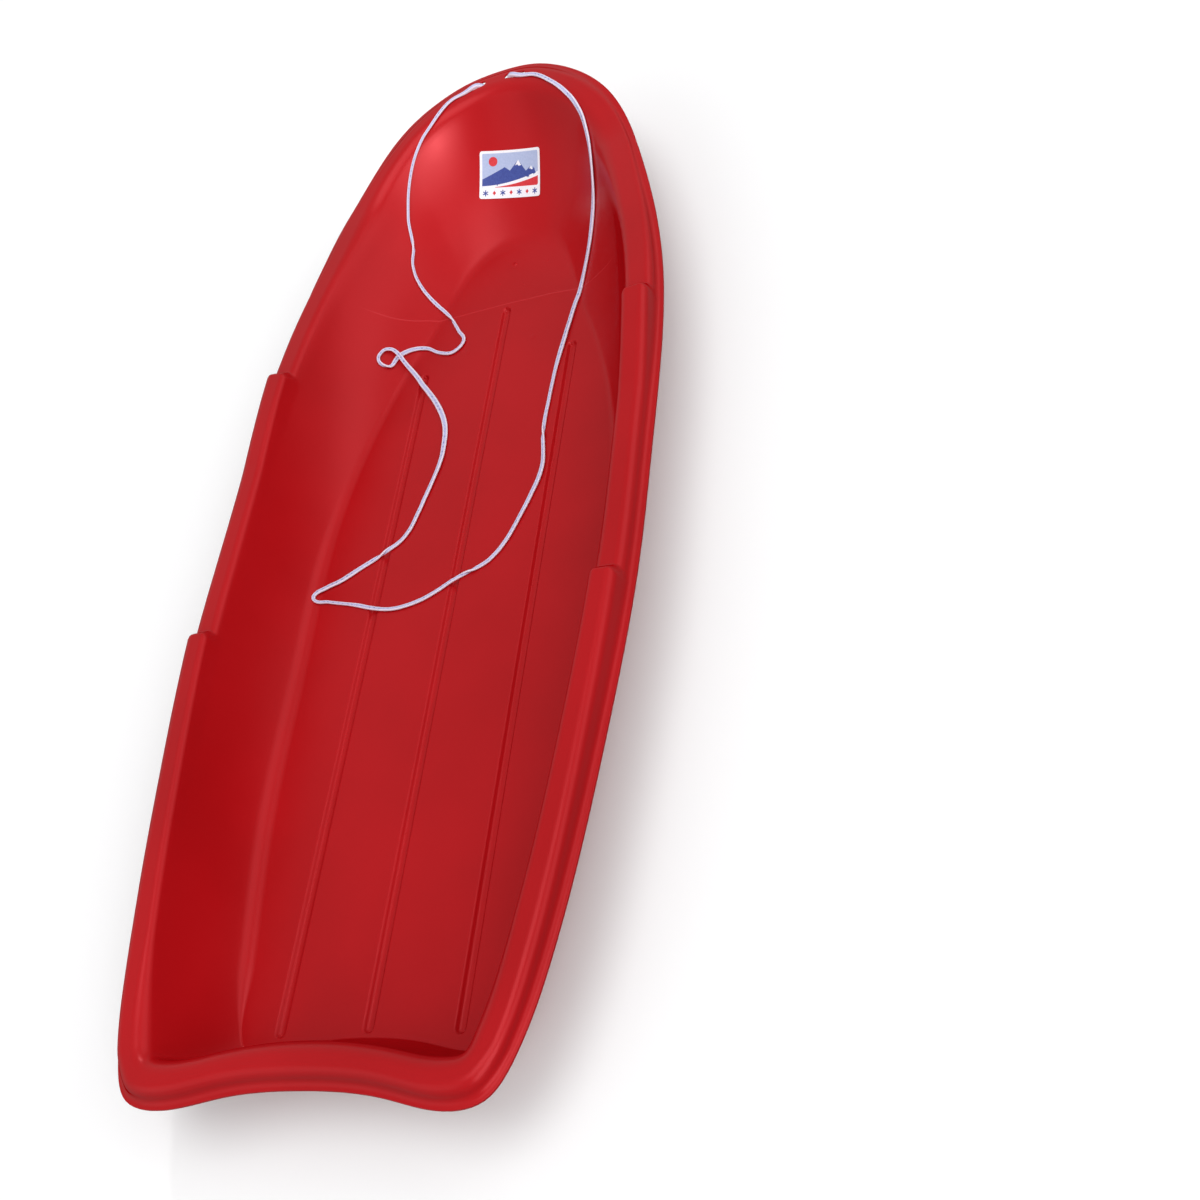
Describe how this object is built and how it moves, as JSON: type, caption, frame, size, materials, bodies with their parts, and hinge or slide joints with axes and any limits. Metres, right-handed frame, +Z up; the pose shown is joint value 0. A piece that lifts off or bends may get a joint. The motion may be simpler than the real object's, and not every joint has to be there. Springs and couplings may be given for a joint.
{
  "type": "toboggan",
  "caption": "Long moulded snow toboggan with a stepped rim, a rounded raised nose, floor runners and a loose pull rope held by stop knots under the nose.",
  "frame": {"origin": "on the ground under the middle of the sled's bounding box, the rope and its knots left out", "axes": "+X towards the nose, +Y to the rider's left, +Z up"},
  "size_m": [1.219, 0.515, 0.1237],
  "materials": {
    "red_plastic": "satin moulded",
    "white_rope": "twisted cord",
    "label_film": "printed film"
  },
  "bodies": {
    "root": {"sled_shell": "red_plastic", "pull_rope": "white_rope", "knot_left": "white_rope", "knot_right": "white_rope", "nose_label": "label_film"}
  },
  "joints": []
}
